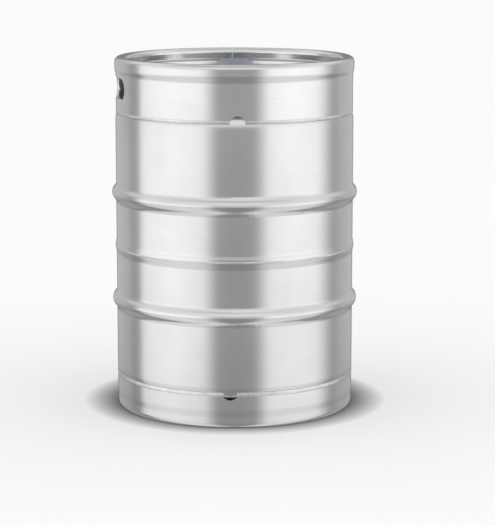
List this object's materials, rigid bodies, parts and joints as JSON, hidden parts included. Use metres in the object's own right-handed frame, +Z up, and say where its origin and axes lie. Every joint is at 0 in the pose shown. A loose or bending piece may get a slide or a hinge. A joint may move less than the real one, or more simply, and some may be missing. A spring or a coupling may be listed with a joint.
{
  "type": "beer keg",
  "caption": "Stainless steel beer keg with rolled chimes, pressed handholds, rolling hoops, a drop-in valve with spear, and a lift-off plastic dust cap.",
  "frame": {"origin": "centre of the foot ring on the floor", "axes": "+Z up along the keg's axis, -Y the front with the drain notches, the handholds 10 degrees round from the X axis"},
  "size_m": [0.4131, 0.4132, 0.591],
  "materials": {
    "brushed_shell": "satin brushed stainless",
    "brushed_chime": "satin brushed stainless",
    "weld": "rippled weld bead, pickled",
    "machined_steel": "machined stainless",
    "spring_steel": "drawn spring wire",
    "bright_steel": "polished ball",
    "seal_rubber": "moulded black rubber",
    "cap_plastic": "moulded blue-grey plastic"
  },
  "bodies": {
    "keg": {"upper_shell": "brushed_shell", "lower_shell": "brushed_shell", "shell_seam_weld": "weld", "top_chime": "brushed_chime", "top_chime_weld": "weld", "top_chime_seam": "weld", "bottom_chime": "brushed_chime", "bottom_chime_weld": "weld", "bottom_chime_seam": "weld", "neck_fitting": "machined_steel", "neck_weld": "weld", "neck_gasket": "seal_rubber", "retaining_ring": "spring_steel", "valve_body": "machined_steel", "spring_cup": "machined_steel", "main_spring": "spring_steel"},
    "spear": {"down_tube": "machined_steel", "valve_seal": "seal_rubber", "spring_seat": "machined_steel", "ball_spring": "spring_steel", "ball_spring_retainer": "machined_steel"},
    "ball": {"beer_ball": "bright_steel"},
    "cap": {"dust_cap": "cap_plastic"}
  },
  "joints": [
    {"name": "dust_cap_lift", "type": "slide", "parent": "keg", "child": "cap", "axis": [0, 0, 1], "range_m": [0, 0.12]},
    {"name": "gas_valve_press", "type": "slide", "parent": "keg", "child": "spear", "axis": [0, 0, -1], "range_m": [0, 0.005], "stiffness_N_per_m": 4000, "springref_m": -0.008, "deforming": ["main_spring"]},
    {"name": "beer_valve_press", "type": "slide", "parent": "spear", "child": "ball", "axis": [0, 0, -1], "range_m": [0, 0.003], "stiffness_N_per_m": 300, "springref_m": -0.003, "deforming": ["ball_spring"]}
  ]
}
